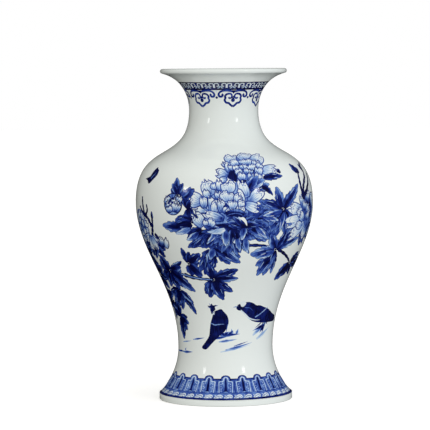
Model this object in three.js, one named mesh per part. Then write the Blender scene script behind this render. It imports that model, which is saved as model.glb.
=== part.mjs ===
// Porcelain vase with an everted mouth, a slim neck, a full belly, a narrow waist and a flared foot.
// A vase of this size is not thrown in one go. Four wall sections and a floor disc are made apart, and
// the potter joins them with liquid clay (slip). Each wall joint is a butt joint on the outer half of the
// wall, with a rebate on the inner half that the slip fills. The slip stands a little proud inside.
// Millimetres, +Z up. The origin is the middle of the surface that the foot ring stands on.
import * as THREE from 'three';

// ---- driving dimensions (radii are of the outside surface) ----
const HEIGHT = 460;
const LIP = { radius: 88, round: 3.2 };
const NECK = { radius: 48, z: 403 };
const BELLY = { radius: 123.4, z: 275 };
const WAIST = { radius: 65.8, z: 73 };
const FOOT = { radius: 92.8, band: 9, ring: 7.5, bevel: 0.8 };

// How far each curve runs straight on before it bends: the pull of its Bezier handles.
const PULL = {
  footOut: { r: 7, z: 4 },
  waistDown: 33,
  waistUp: 87,
  bellyDown: 68,
  bellyUp: 90,
  neckDown: 77,
  neckUp: 4,
};
const LIP_HANDLE = { radius: 48.3, z: 444 }; // under the mouth, where the neck turns outwards
const LIP_SLOPE = THREE.MathUtils.degToRad(14); // rise of the mouth's underside where it meets the lip

const WALL = 5; // the sections' thickness
const WALL_AT_FOOT = 6.5; // thicker where the foot flares
const THICK_FOOT_TOP = 60; // height where the foot's extra thickness ends
const THIN_NECK_TOP = 425; // height where the wall starts to swell into the lip

// Joints between the sections, and the slip in them.
const JOINT = { waist: 84, belly: BELLY.z, neck: 372 };
const REBATE = { height: 4, share: 0.45 }; // the share of the wall that the slip takes
const BEAD = { proud: 1.2, shoulder: 0.8 }; // how far the slip stands proud inside, and its share halfway up

// Floor disc, the part of its top that the slip leaves clear, and the recess under it.
const FLOOR = { radius: 80, clear: 72, bottom: 8, thickness: 7, dish: 1, dishRadius: 60 };
const FLOOR_SLIP = { height: 4, foot: 5.5, hollow: 0.4 };

// Fineness of the facets.
const SEGMENTS = 48;
const STEP = 10.5;
const LIP_STEPS = 7;
const HALVINGS = 40; // how often the search for a height halves its interval

// ---- the outside and inside curves, from the foot up to the lip ----
const point = (r, z) => new THREE.Vector2(r, z);
const lipCentre = point(LIP.radius - LIP.round, HEIGHT - LIP.round);

function outsideCurve() {
  const foot = point(FOOT.radius, FOOT.band);
  const waist = point(WAIST.radius, WAIST.z);
  const belly = point(BELLY.radius, BELLY.z);
  const neck = point(NECK.radius, NECK.z);
  const lip = point(
    lipCentre.x + LIP.round * Math.sin(LIP_SLOPE),
    lipCentre.y - LIP.round * Math.cos(LIP_SLOPE),
  );
  const bend = (from, handleFrom, handleTo, to) =>
    new THREE.CubicBezierCurve(from, handleFrom, handleTo, to);
  const curve = new THREE.CurvePath();
  curve.add(bend(
    foot, point(foot.x - PULL.footOut.r, foot.y + PULL.footOut.z),
    point(waist.x, waist.y - PULL.waistDown), waist,
  ));
  curve.add(bend(
    waist, point(waist.x, waist.y + PULL.waistUp),
    point(belly.x, belly.y - PULL.bellyDown), belly,
  ));
  curve.add(bend(
    belly, point(belly.x, belly.y + PULL.bellyUp),
    point(neck.x, neck.y - PULL.neckDown), neck,
  ));
  curve.add(bend(
    neck, point(neck.x, neck.y + PULL.neckUp),
    point(LIP_HANDLE.radius, LIP_HANDLE.z), lip,
  ));
  return curve;
}

/** The wall's thickness at a height: even, but thicker towards the foot and towards the lip. */
function wallAt(z) {
  const atFoot = 1 - THREE.MathUtils.smoothstep(z, FOOT.band, THICK_FOOT_TOP);
  const atLip = THREE.MathUtils.smoothstep(z, THIN_NECK_TOP, lipCentre.y);
  return WALL + atFoot * (WALL_AT_FOOT - WALL) + atLip * (2 * LIP.round - WALL);
}

/** The inside of the wall: the outside curve moved inwards by the wall's thickness. */
class InsideCurve extends THREE.Curve {
  constructor(outside) {
    super();
    this.outside = outside;
  }

  getPoint(t) {
    const at = this.outside.getPoint(t);
    const along = this.outside.getTangent(t);
    const depth = wallAt(at.y);
    return point(at.x - along.y * depth, at.y + along.x * depth);
  }
}

const outside = outsideCurve();
const inside = new InsideCurve(outside);

/** The place along a rising curve where it reaches the height z. */
function placeAtHeight(curve, z) {
  let [low, high] = [0, 1];
  for (let i = 0; i < HALVINGS; i++) {
    const middle = (low + high) / 2;
    if (curve.getPoint(middle).y < z) low = middle;
    else high = middle;
  }
  return (low + high) / 2;
}

/** Points along a rising curve between two heights, or from one to the end, in even steps. */
function stretch(curve, bottom, top = HEIGHT) {
  const first = placeAtHeight(curve, bottom);
  const last = placeAtHeight(curve, top);
  const steps = Math.ceil(((last - first) * outside.getLength()) / STEP);
  const points = [];
  for (let i = 0; i <= steps; i++) {
    points.push(curve.getPoint(THREE.MathUtils.lerp(first, last, i / steps)));
  }
  return points;
}

/** Points round an arc, its ends included. */
function arc(centre, radius, from, to, steps) {
  const points = [];
  for (let i = 0; i <= steps; i++) {
    const angle = THREE.MathUtils.lerp(from, to, i / steps);
    points.push(point(centre.x + radius * Math.cos(angle), centre.y + radius * Math.sin(angle)));
  }
  return points;
}

// ---- joints ----
/** The radii and heights that a wall joint and its slip share. */
function jointAt(z) {
  const outer = outside.getPoint(placeAtHeight(outside, z)).x;
  const inner = inside.getPoint(placeAtHeight(inside, z)).x;
  return {
    z,
    outer,
    low: z - REBATE.height / 2,
    high: z + REBATE.height / 2,
    shoulder: inner + (outer - inner) * REBATE.share,
  };
}

const joints = {
  waist: jointAt(JOINT.waist),
  belly: jointAt(JOINT.belly),
  neck: jointAt(JOINT.neck),
};

const outsideBetween = (bottom, top) => stretch(outside, bottom, top);
const outsideFrom = (bottom) => stretch(outside, bottom);
const insideDown = (top, bottom) => stretch(inside, bottom, top).reverse();
const insideDownTo = (bottom) => stretch(inside, bottom).reverse();

/** The top end of a section: its butt face, then the step down into the rebate. */
const topEnd = (joint) => [point(joint.shoulder, joint.z), point(joint.shoulder, joint.low)];

/** The bottom end of a section, from the rebate out to the butt face. */
const bottomEnd = (joint) => [point(joint.shoulder, joint.high), point(joint.shoulder, joint.z)];

// ---- solids ----
/** A disc, from an outline that starts and ends on the axis. */
const turned = (outline) => new THREE.LatheGeometry(outline, SEGMENTS).rotateX(Math.PI / 2);

/** A closed ring, from an outline that runs up the outside and down the inside. */
const turnedRing = (outline) => turned([...outline, outline[0].clone()]);

function neckSection() {
  const { neck } = joints;
  const underside = LIP_SLOPE - Math.PI / 2;
  return turnedRing([
    ...outsideFrom(neck.z),
    ...arc(lipCentre, LIP.round, underside, Math.PI / 2, LIP_STEPS).slice(1),
    ...insideDownTo(neck.high),
    ...bottomEnd(neck),
  ]);
}

function wallSection(lower, upper) {
  return turnedRing([
    ...outsideBetween(lower.z, upper.z),
    ...topEnd(upper),
    ...insideDown(upper.low, lower.high),
    ...bottomEnd(lower),
  ]);
}

function footSection() {
  const { waist } = joints;
  const landTop = FLOOR.bottom + FLOOR.thickness + FLOOR_SLIP.height;
  return turnedRing([
    point(FOOT.radius - FOOT.bevel, 0),
    point(FOOT.radius, FOOT.bevel),
    ...outsideBetween(FOOT.band, waist.z),
    ...topEnd(waist),
    ...insideDown(waist.low, landTop),
    point(FLOOR.radius, landTop),
    point(FLOOR.radius, FLOOR.bottom),
    point(FOOT.radius - FOOT.ring - FOOT.bevel, FOOT.bevel),
    point(FOOT.radius - FOOT.ring, 0),
  ]);
}

function floorDisc() {
  const top = FLOOR.bottom + FLOOR.thickness;
  return turned([
    point(0, FLOOR.bottom + FLOOR.dish),
    point(FLOOR.dishRadius, FLOOR.bottom),
    point(FLOOR.radius, FLOOR.bottom),
    point(FLOOR.radius, top),
    point(FLOOR.clear, top),
    point(0, top),
  ]);
}

/** The slip in a wall joint: it fills the rebate, and its bead swells inwards. */
function wallSlip(joint) {
  const bulge = (z, proud) => point(inside.getPoint(placeAtHeight(inside, z)).x - proud, z);
  return turnedRing([
    point(joint.shoulder, joint.low),
    point(joint.shoulder, joint.high),
    bulge(joint.high, 0),
    bulge(joint.z + REBATE.height / 4, BEAD.proud * BEAD.shoulder),
    bulge(joint.z, BEAD.proud),
    bulge(joint.z - REBATE.height / 4, BEAD.proud * BEAD.shoulder),
    bulge(joint.low, 0),
  ]);
}

/** The slip fillet in the corner between the floor disc and the foot's wall. */
function floorSlip() {
  const bottom = FLOOR.bottom + FLOOR.thickness;
  const top = bottom + FLOOR_SLIP.height;
  const wall = inside.getPoint(placeAtHeight(inside, top)).x;
  const toe = FLOOR.radius - FLOOR_SLIP.foot;
  return turnedRing([
    point(FLOOR.radius, bottom),
    point(FLOOR.radius, top),
    point(wall, top),
    point((wall + toe) / 2 + FLOOR_SLIP.hollow, (top + bottom) / 2),
    point(toe, bottom),
  ]);
}

// ---- materials ----
const glazed = (color) => new THREE.MeshStandardMaterial({ color, roughness: 0.1, metalness: 0 });
const slipMaterial = () => new THREE.MeshStandardMaterial({
  color: 0xe4e3dc, roughness: 0.25, metalness: 0,
});

// ---- assembly ----
const vase = new THREE.Group();

function add(name, geometry, material) {
  const mesh = new THREE.Mesh(geometry, material);
  mesh.name = name;
  vase.add(mesh);
}

add('foot_section', footSection(), glazed(0xe0e2e6));
add('floor_disc', floorDisc(), glazed(0xdfe0dd));
add('lower_belly_section', wallSection(joints.waist, joints.belly), glazed(0xb9c4dc));
add('upper_belly_section', wallSection(joints.belly, joints.neck), glazed(0xb4c0dc));
add('neck_section', neckSection(), glazed(0xdcdfe6));
add('floor_slip', floorSlip(), slipMaterial());
add('waist_slip', wallSlip(joints.waist), slipMaterial());
add('belly_slip', wallSlip(joints.belly), slipMaterial());
add('neck_slip', wallSlip(joints.neck), slipMaterial());

export default vase;
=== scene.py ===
"""Porcelain vase, painted in cobalt blue under a clear glaze: peonies, leaves and two birds.

Every section is one closed solid of revolution. Its surface is laid out flat, as angle against length along
the outline, the painting is drawn on that flat sheet as brush marks, and the sheet is triangulated along the
marks' edges and wrapped back round the axis. Painting sizes are in millimetres, and places are an angle
round the vase (0 is the front, positive is to the right) and a height above the table.
"""

import math

import bpy
import numpy as np
from mathutils import Matrix, Vector
from mathutils.geometry import delaunay_2d_cdt


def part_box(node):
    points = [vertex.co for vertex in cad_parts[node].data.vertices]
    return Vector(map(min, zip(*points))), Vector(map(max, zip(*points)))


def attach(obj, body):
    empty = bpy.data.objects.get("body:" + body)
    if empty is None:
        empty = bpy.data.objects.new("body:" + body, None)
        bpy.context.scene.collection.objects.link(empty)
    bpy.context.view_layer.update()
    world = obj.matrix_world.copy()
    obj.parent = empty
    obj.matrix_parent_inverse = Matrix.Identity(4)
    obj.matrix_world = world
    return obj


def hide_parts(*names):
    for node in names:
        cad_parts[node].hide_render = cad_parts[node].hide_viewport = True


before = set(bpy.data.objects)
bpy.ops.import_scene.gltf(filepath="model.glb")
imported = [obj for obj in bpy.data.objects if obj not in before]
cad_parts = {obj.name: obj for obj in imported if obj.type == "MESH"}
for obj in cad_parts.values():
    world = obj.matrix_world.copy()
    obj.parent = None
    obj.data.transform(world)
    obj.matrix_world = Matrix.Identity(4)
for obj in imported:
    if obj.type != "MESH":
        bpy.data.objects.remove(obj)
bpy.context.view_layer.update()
MM = 0.001

# ---- The outline. Heights and widths come from the CAD nodes; the curve between them is the CAD's own curve.


def node_size(node):
    """A CAD node's outer radius, its lowest and its highest point, in millimetres."""
    low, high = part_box(node)
    return high.x / MM, low.z / MM, high.z / MM


LIP_RADIUS, NECK_JOINT, HEIGHT = node_size("neck_section")
BELLY_RADIUS, WAIST_JOINT, BELLY_JOINT = node_size("lower_belly_section")
FOOT_RADIUS = node_size("foot_section")[0]
FLOOR_RADIUS, FLOOR_BOTTOM, FLOOR_TOP = node_size("floor_disc")
FLOOR_SLIP_TOP = node_size("floor_slip")[2]
LIP_ROUND = 3.2
LIP_SLOPE = math.radians(14)
NECK_RADIUS, NECK_HEIGHT = 48.0, 403.0
WAIST_RADIUS, WAIST_HEIGHT = 65.8, 73.0
FOOT_BAND = 9.0
FOOT_RING = 7.5
FOOT_BEVEL = 0.8
WALL, WALL_AT_FOOT = 5.0, 6.5
THICK_FOOT_TOP, THIN_NECK_TOP = 60.0, 425.0
BEAD = 1.2


def bezier(start, pull_start, pull_end, end, count=400):
    t = np.linspace(0, 1, count)[:, None]
    p0, p1, p2, p3 = (np.array(p, float) for p in (start, pull_start, pull_end, end))
    return (1 - t) ** 3 * p0 + 3 * (1 - t) ** 2 * t * p1 + 3 * (1 - t) * t * t * p2 + t**3 * p3


def arc(centre, radius, start, end, count=60):
    angle = np.linspace(start, end, count)
    return np.stack([centre[0] + radius * np.cos(angle), centre[1] + radius * np.sin(angle)], 1)


def smoothstep(x, low, high):
    t = np.clip((x - low) / (high - low), 0, 1)
    return t * t * (3 - 2 * t)


def outside_curve():
    """The outside from the top of the foot's band up to where the lip's edge begins."""
    foot, waist = (FOOT_RADIUS, FOOT_BAND), (WAIST_RADIUS, WAIST_HEIGHT)
    belly, neck = (BELLY_RADIUS, BELLY_JOINT), (NECK_RADIUS, NECK_HEIGHT)
    lip = (LIP_CENTRE[0] + LIP_ROUND * math.sin(LIP_SLOPE), LIP_CENTRE[1] - LIP_ROUND * math.cos(LIP_SLOPE))
    return np.vstack([
        bezier(foot, (foot[0] - 7, foot[1] + 4), (waist[0], waist[1] - 33), waist),
        bezier(waist, (waist[0], waist[1] + 87), (belly[0], belly[1] - 68), belly)[1:],
        bezier(belly, (belly[0], belly[1] + 90), (neck[0], neck[1] - 77), neck)[1:],
        bezier(neck, (neck[0], neck[1] + 4), (48.3, 444), lip)[1:],
    ])


def inside_of(outside):
    """The outside curve moved inwards by the wall's thickness."""
    along = np.gradient(outside, axis=0)
    along /= np.linalg.norm(along, axis=1)[:, None]
    z = outside[:, 1]
    depth = (WALL + (WALL_AT_FOOT - WALL) * (1 - smoothstep(z, FOOT_BAND, THICK_FOOT_TOP))
             + (2 * LIP_ROUND - WALL) * smoothstep(z, THIN_NECK_TOP, LIP_CENTRE[1]))
    return outside + np.stack([-along[:, 1], along[:, 0]], 1) * depth[:, None]


LIP_CENTRE = (LIP_RADIUS - LIP_ROUND, HEIGHT - LIP_ROUND)
OUTSIDE = outside_curve()
INSIDE = inside_of(OUTSIDE)
# The painted surface: the foot's band, then the whole outside. Lengths are measured up from the table.
PAINTED = np.vstack([[[FOOT_RADIUS, 0]], OUTSIDE])
LENGTH = np.concatenate([[0], np.cumsum(np.linalg.norm(np.diff(PAINTED, axis=0), axis=1))])


def length_at(height):
    return np.interp(height, PAINTED[:, 1], LENGTH)


def radius_at_length(length):
    return np.interp(length, LENGTH, PAINTED[:, 0])


def between(curve, low, high):
    """The part of a rising curve between two heights, with both ends exact."""
    r = [np.interp(z, curve[:, 1], curve[:, 0]) for z in (low, high)]
    middle = curve[(curve[:, 1] > low + 1e-6) & (curve[:, 1] < high - 1e-6)]
    return np.vstack([[[r[0], low]], middle, [[r[1], high]]])


# ---- The painting: brush marks on the flat sheet. A mark is an outline and the cobalt's density inside it.
FLAT_RADIUS = 100.0  # one radian round the vase is this wide on the flat sheet
SEAM = math.pi * FLAT_RADIUS


class Place:
    """A spot on the vase, as a small sheet of paper laid on it: x to the right, y up, in millimetres."""

    def __init__(self, angle, height, turn=0, size=1, flip=1):
        self.angle = math.radians(angle)
        self.length = float(length_at(height))
        self.cos = math.cos(math.radians(turn)) * size
        self.sin = math.sin(math.radians(turn)) * size
        self.size = size
        self.flip = flip

    def flat(self, points):
        """Points on the paper, moved to the flat sheet."""
        x, y = np.asarray(points, float).T
        x = x * self.flip
        right, up = x * self.cos - y * self.sin, x * self.sin + y * self.cos
        length = self.length + up
        return np.stack([(self.angle + right / radius_at_length(length)) * FLAT_RADIUS, length], 1)

    def paper(self, points, shift=0):
        """Points on the flat sheet, moved back to the paper."""
        angle, length = (points[:, 0] - shift) / FLAT_RADIUS, points[:, 1]
        right, up = (angle - self.angle) * radius_at_length(length), length - self.length
        x, y = right * self.cos + up * self.sin, up * self.cos - right * self.sin
        return x * self.flip / self.size**2, y / self.size**2


MARKS = []  # in the order that they are painted


def mark(place, outline, density, grain=None, how="over"):
    """Paints an outline. Its density is a number, or a function of x and y on the paper; grain is a function
    too, and gives the place across the brush's hairs."""
    flat = place.flat(outline)
    for shift in (-2 * SEAM, 0, 2 * SEAM):
        moved = flat + [shift, 0]
        if moved[:, 0].max() > -SEAM and moved[:, 0].min() < SEAM:
            MARKS.append((moved, place, shift, density, grain, how))


def smooth(points, step=1.2, closed=False):
    """A Catmull-Rom curve through the points, in steps of about the given length."""
    p = np.asarray(points, float)
    p = np.vstack([p[-1], p, p[:2]]) if closed else np.vstack([2 * p[0] - p[1], p, 2 * p[-1] - p[-2]])
    out = []
    for a, b, c, d in zip(p, p[1:], p[2:], p[3:]):
        n = max(1, int(math.ceil(np.linalg.norm(c - b) / step)))
        t = (np.arange(n) / n)[:, None]
        out.append(0.5 * (2 * b + (c - a) * t + (2 * a - 5 * b + 4 * c - d) * t**2
                          + (3 * b - a - 3 * c + d) * t**3))
    if not closed:
        out.append(p[-2][None])
    return np.vstack(out)


def ribbon(path, width):
    """The outline of a stroke along a path; width is its whole width, one number or one for each point."""
    along = np.gradient(path, axis=0)
    along /= np.maximum(np.linalg.norm(along, axis=1), 1e-9)[:, None]
    side = np.stack([-along[:, 1], along[:, 0]], 1) * np.broadcast_to(width, len(path))[:, None] / 2
    return np.vstack([path - side, (path + side)[::-1]])


def clip(outline, axis, limit, keep):
    """The part of an outline on one side of a line; keep is 1 for above it and -1 for below."""
    if not len(outline):
        return outline
    here = (outline[:, axis] - limit) * keep
    if here.min() >= 0:
        return outline
    out = []
    for i in range(len(outline)):
        a, b = outline[i - 1], outline[i]
        da, db = here[i - 1], here[i]
        if (da >= 0) != (db >= 0):
            cut = a + (b - a) * (da / (da - db))
            cut[axis] = limit
            out.append(cut)
        if db >= 0:
            out.append(b)
    return np.array(out).reshape(-1, 2)


def inside(points, outline):
    """Which points are inside an outline, by its winding number."""
    x, y = points[:, 0, None], points[:, 1, None]
    x0, y0 = outline.T
    x1, y1 = np.roll(outline, -1, axis=0).T
    left = (x1 - x0) * (y - y0) - (x - x0) * (y1 - y0)
    up = (y0 <= y) & (y1 > y) & (left > 0)
    down = (y1 <= y) & (y0 > y) & (left < 0)
    return up.sum(1) != down.sum(1)


# ---- Turned pieces
COLUMN = 2 * SEAM / 128  # the facets' width on the flat sheet
ROW = 5.0  # their greatest height
TURN = math.radians(7)  # the most that the outline turns within a row
CELL = 6.0  # the size of the cells that get a finer lattice where there is painting
SNAP = 2 * SEAM / 2512  # marks that cross a joint or the seam are cut at multiples of this
SAME = 1e-6  # lengths that differ by less than this are the same
NEAR = 1e-3  # a point this near to an edge of the outline is on it
MERGE = 0.02  # corners of marks that are closer than this become one point
HAIR_LENGTH = 0.12  # how fast the grain changes along the hairs, against across them
HAIR_STEP, HAIR_RANGE = 7.31, 97  # every mark takes its grain from a spot of its own


class Outline:
    """A closed outline, of curves that meet at corners: its length, and what is at each length."""

    def __init__(self, curves, start=0.0):
        points, corners = [curves[0][0]], [start]
        for curve in curves:
            points += list(curve[1:])
            corners.append(corners[-1] + np.linalg.norm(np.diff(curve, axis=0), axis=1).sum())
        self.points = np.array(points)
        step = np.diff(self.points, axis=0)
        self.at = start + np.concatenate([[0], np.cumsum(np.linalg.norm(step, axis=1))])
        self.corners = corners
        self.angle = np.unwrap(np.arctan2(step[:, 1], step[:, 0]))
        self.middle = (self.at[1:] + self.at[:-1]) / 2

    def rows(self):
        """Lengths for the rows of points: close together where the outline bends."""
        rows = []
        for low, high in zip(self.corners, self.corners[1:]):
            fine = np.linspace(low, high, 200)
            angle = np.interp(fine, self.middle, self.angle)
            bend = np.abs(np.diff(angle))
            bend[:2] = bend[-2:] = 0
            need = np.concatenate([[0], np.cumsum(np.maximum(np.diff(fine) / ROW, bend / TURN))])
            count = max(1, int(math.ceil(need[-1])))
            rows += list(np.interp(np.linspace(0, need[-1], count + 1), need, fine)[:-1])
        return rows + [self.corners[-1]]

    def place(self, length):
        return tuple(np.interp(length, self.at, values) for values in self.points.T)

    def normal(self, length, towards):
        """The outward normal (radial, up) at a length, seen from the side that `towards` is on."""
        corners = np.array(self.corners)
        low = np.clip(np.searchsorted(corners, towards, side="right") - 1, 0, len(corners) - 2)
        first, last = corners[low], corners[low + 1]
        length = np.clip(length + np.clip(towards - length, -0.05, 0.05), first + 1e-4, last - 1e-4)
        final = len(self.middle) - 1
        index = np.clip(np.searchsorted(self.at, length, side="right") - 1, 0, final)
        other = np.clip(np.where(length > self.middle[index], index + 1, index - 1), 0, final)
        same_curve = (self.middle[other] > first) & (self.middle[other] < last)
        other = np.where(same_curve, other, index)
        span = self.middle[other] - self.middle[index]
        part = np.where(span == 0, 0, (length - self.middle[index]) / np.where(span == 0, 1, span))
        angle = self.angle[index] * (1 - part) + self.angle[other] * part
        return np.sin(angle), -np.cos(angle)


def sheet_points(outline, marks):
    """Points for the flat sheet: an even lattice, finer in the cells that the marks touch."""
    painted = set()
    for mark_outline, *_ in marks:
        cells = np.floor(mark_outline / CELL).astype(int)
        (left, bottom), (right, top) = cells.min(0), cells.max(0)
        painted |= {(i, j) for i in range(left, right + 1) for j in range(bottom, top + 1)}

    def to_corner(length):
        return min(abs(length - corner) for corner in outline.corners)

    points = []
    for number, row in enumerate(outline.rows()):
        is_edge = to_corner(row) < SAME
        columns = np.arange(-SEAM, SEAM + SAME, COLUMN)
        if number % 2 and not is_edge:
            columns = np.concatenate([[-SEAM], columns[:-1] + COLUMN / 2, [SEAM]])
        for u in columns:
            cell = (math.floor(u / CELL), math.floor(row / CELL))
            if is_edge or abs(u) > SEAM - SAME or cell not in painted:
                points.append((u, row))
    low, high = outline.corners[0], outline.corners[-1]
    for i, j in sorted(painted):
        for a, b in ((0, 0), (0, 1), (1, 0), (1, 1)):
            u, v = i * CELL + (a + 0.5 * b + 0.25) * CELL / 2, j * CELL + (b + 0.5) * CELL / 2
            if abs(u) < SEAM - 0.6 and low + 0.3 < v < high - 0.3 and to_corner(v) > 0.5:
                points.append((u, v))
    return points


# How a mark's density is laid over what is there.
LAYERS = {
    "over": lambda under, value: value,
    "dark": np.maximum,
    "light": np.minimum,
    "wash": lambda under, value: 1 - (1 - under) * (1 - value),
}


def colour_marks(corner, middle, marks):
    """The cobalt's density and the brush's grain at every corner, marks painted one over another."""
    count = len(middle)
    density = np.zeros((count, 3))
    brush = np.zeros((count, 3, 3))
    brush[:, :, :2] = corner
    order = np.argsort(middle[:, 0])
    across = middle[order, 0]
    for number, (outline, place, shift, tone, grain, how) in enumerate(marks):
        first, last = np.searchsorted(across, [outline[:, 0].min(), outline[:, 0].max()])
        near = order[first:last]
        v = middle[near, 1]
        near = near[(v > outline[:, 1].min()) & (v < outline[:, 1].max())]
        near = near[inside(middle[near], outline)]
        if not len(near):
            continue
        x, y = place.paper(corner[near].reshape(-1, 2), shift)
        value = np.clip(np.broadcast_to(tone(x, y) if callable(tone) else tone, x.shape), 0, 1).reshape(-1, 3)
        density[near] = LAYERS[how](density[near], value)
        if grain is not None:
            brush[near, :, 0] = np.broadcast_to(grain(x, y), x.shape).reshape(-1, 3)
            brush[near, :, 1] = np.hypot(x, y).reshape(-1, 3) * HAIR_LENGTH
            brush[near, :, 2] = number * HAIR_STEP % HAIR_RANGE
    return density, brush


def snapped(cut, start, end):
    """A clipped mark, with its points on the clipping lines moved to round places along them."""
    cut = cut.copy()
    on_row = (cut[:, 1] == start) | (cut[:, 1] == end)
    on_seam = np.abs(cut[:, 0]) == SEAM
    across, along = on_row & ~on_seam, on_seam & ~on_row
    cut[across, 0] = np.round(cut[across, 0] / SNAP) * SNAP
    cut[along, 1] = np.clip(np.round(cut[along, 1] / SNAP) * SNAP, start, end)
    return cut


def cut_marks(marks, start, end):
    """The marks on the part of the sheet between two lengths, cut off at its edges."""
    kept = []
    for outline, *rest in marks:
        for axis, limit, keep in ((1, start, 1), (1, end, -1), (0, -SEAM, 1), (0, SEAM, -1)):
            outline = clip(outline, axis, limit, keep)
        if len(outline) > 2:
            kept.append((snapped(outline, start, end), *rest))
    return kept


def triangulated(outline, start, marks):
    """The flat sheet's points and its triangles, none of which crosses the edge of a mark."""
    points = sheet_points(outline, marks)
    # the seam's two sides and the first and last rows have to carry the same points, to be sewn together
    for cut, *_ in marks:
        points += [(u, outline.corners[-1]) for u in cut[cut[:, 1] == start, 0]]
        points += [(side, v) for v in cut[np.abs(cut[:, 0]) == SEAM, 1] for side in (-SEAM, SEAM)]
    edges = []
    for corner in outline.corners:
        row = [i for i, p in enumerate(points) if p[1] == corner and abs(p[0]) > SEAM - SAME]
        edges.append((min(row), max(row)))
    for cut, *_ in marks:
        first, count = len(points), len(cut)
        points += [tuple(p) for p in cut]
        edges += [(first + i, first + (i + 1) % count) for i in range(count)]
    flat, _, faces, *_ = delaunay_2d_cdt([Vector(p) for p in points], edges, [], 0, MERGE, False)
    flat = np.array([tuple(p) for p in flat])
    for length in outline.corners:
        flat[np.abs(flat[:, 1] - length) < NEAR, 1] = length
    return flat, np.array(faces)


def wrapped(outline, flat, faces):
    """The sheet wrapped round the axis and sewn along the seam: its points, its triangles, and which of the
    flat ones they are. Triangles that close up on the axis are left out."""
    radius, height = outline.place(flat[:, 1])
    angle = np.where(np.abs(flat[:, 0]) > SEAM - 1e-4, math.pi, flat[:, 0] / FLAT_RADIUS)
    solid = np.stack([radius * np.sin(angle), -radius * np.cos(angle), height], 1)
    _, first, same = np.unique(np.round(solid, 3) + 0.0, axis=0, return_index=True, return_inverse=True)
    welded = same.reshape(-1)[faces]
    whole = (welded[:, 0] != welded[:, 1]) & (welded[:, 1] != welded[:, 2]) & (welded[:, 2] != welded[:, 0])
    return solid[first], welded[whole], whole


def corner_normals(outline, corner, middle):
    """The true surface's normal at every corner of every triangle."""
    toward = np.repeat(middle[:, None, 1], 3, axis=1)
    out, up = outline.normal(corner[:, :, 1], toward)
    turn = corner[:, :, 0] / FLAT_RADIUS
    return np.stack([out * np.sin(turn), -out * np.cos(turn), up], -1).reshape(-1, 3)


def turned(name, curves, start=0.0, marks=()):
    """A closed solid of revolution from its outline, with the marks that lie on it painted on."""
    outline = Outline(curves, start)
    marks = cut_marks(marks, start, outline.corners[1] if marks else start)
    flat, faces = triangulated(outline, start, marks)
    corner = flat[faces]
    middle = corner.mean(1)
    density, brush = colour_marks(corner, middle, marks)
    points, triangles, whole = wrapped(outline, flat, faces)
    mesh = bpy.data.meshes.new(name)
    mesh.from_pydata((points * MM).tolist(), [], triangles.tolist())
    for data, label, kind, key in (
        (density, "cobalt", "FLOAT", "value"), (brush, "brush", "FLOAT_VECTOR", "vector"),
    ):
        attribute = mesh.attributes.new(label, kind, "CORNER")
        attribute.data.foreach_set(key, data[whole].ravel().astype(np.float32))
    mesh.shade_smooth()
    mesh.normals_split_custom_set(corner_normals(outline, corner[whole], middle[whole]).tolist())
    piece = bpy.data.objects.new(name, mesh)
    bpy.context.scene.collection.objects.link(piece)
    return piece


# ---- Brush strokes and motifs. Directions are in degrees, anticlockwise from the right: 90 is up and 180 is
# left. Densities run from 0, bare porcelain, to 1, the darkest cobalt.
LINE = 0.8  # the width of a drawn outline
PETAL_LINE = 1.45
RUFFLE = 4.2  # how far apart the ruffles of a petal's edge are
TOOTH = 8.5  # how far apart the teeth of a leaf's edge are


def moved(at, right, up):
    """A spot on the vase some millimetres to the right of another, and up the surface from it."""
    angle, height = at
    length = length_at(height) + up
    return angle + math.degrees(right / radius_at_length(length)), np.interp(length, LENGTH, PAINTED[:, 1])


def ahead(at, towards, distance):
    a = math.radians(towards)
    return moved(at, distance * math.cos(a), distance * math.sin(a))


def across_hairs(x, y):
    return x


def round_hairs(x, y):
    return np.arctan2(x, np.abs(y) + 6) * 22


def inset(outline, depth):
    """A closed outline moved inwards."""
    along = np.roll(outline, -1, axis=0) - np.roll(outline, 1, axis=0)
    along /= np.maximum(np.linalg.norm(along, axis=1), 1e-9)[:, None]
    x, y = outline.T
    turning = np.sign(np.sum(x * np.roll(y, -1) - np.roll(x, -1) * y))
    return outline + np.stack([-along[:, 1], along[:, 0]], 1) * depth * turning


def ellipse(x, y, wide, high, count=16):
    a = np.linspace(0, 2 * math.pi, count, endpoint=False)
    return np.stack([x + wide / 2 * np.cos(a), y + high / 2 * np.sin(a)], 1)


def tapered(count, start, middle, end):
    return np.interp(np.linspace(0, 1, count), [0, 0.4, 1], [start, middle, end])


def stroke(place, path, width, density, how="over", grain=None):
    """A stroke along a path. Its width is one number, a list with one for each point, or a tuple: the widths
    at the start, the middle and the end."""
    if isinstance(width, tuple):
        width = tapered(len(path), *width)
    mark(place, ribbon(path, width), density, grain, how)


def blob(place, points, density, step=1.0, grain=None):
    """A closed, smooth patch."""
    mark(place, smooth(points, step, True), density, grain)


def dot(place, x, y, wide, high, density, count=16, grain=None):
    mark(place, ellipse(x, y, wide, high, count), density, grain)


def outlined(place, outline, tone, line=0.8, width=LINE, grain=across_hairs):
    """A shape with a drawn outline."""
    mark(place, outline, line)
    mark(place, inset(outline, width), tone, grain)


def brush(at, towards, length, width, density, bend=0.0, how="over"):
    """One stroke that swells and tapers off."""
    place = Place(*at, towards - 90)
    t = np.linspace(0, 1, max(6, int(length / 1.6)))
    path = np.stack([bend * length * t * t, length * t], 1)
    stroke(place, path, (0.4 * width, width, 0.1), density, how, across_hairs)


def soft_brush(at, towards, length, width, density, bend=0.0):
    """A watery stroke: its colour fades out to the edges and the ends."""
    for share in (1.0, 0.72, 0.45):
        start = ahead(at, towards, length * (1 - share) / 2)
        brush(start, towards, length * share, width * share, density * 0.45, bend, "wash")


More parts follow.
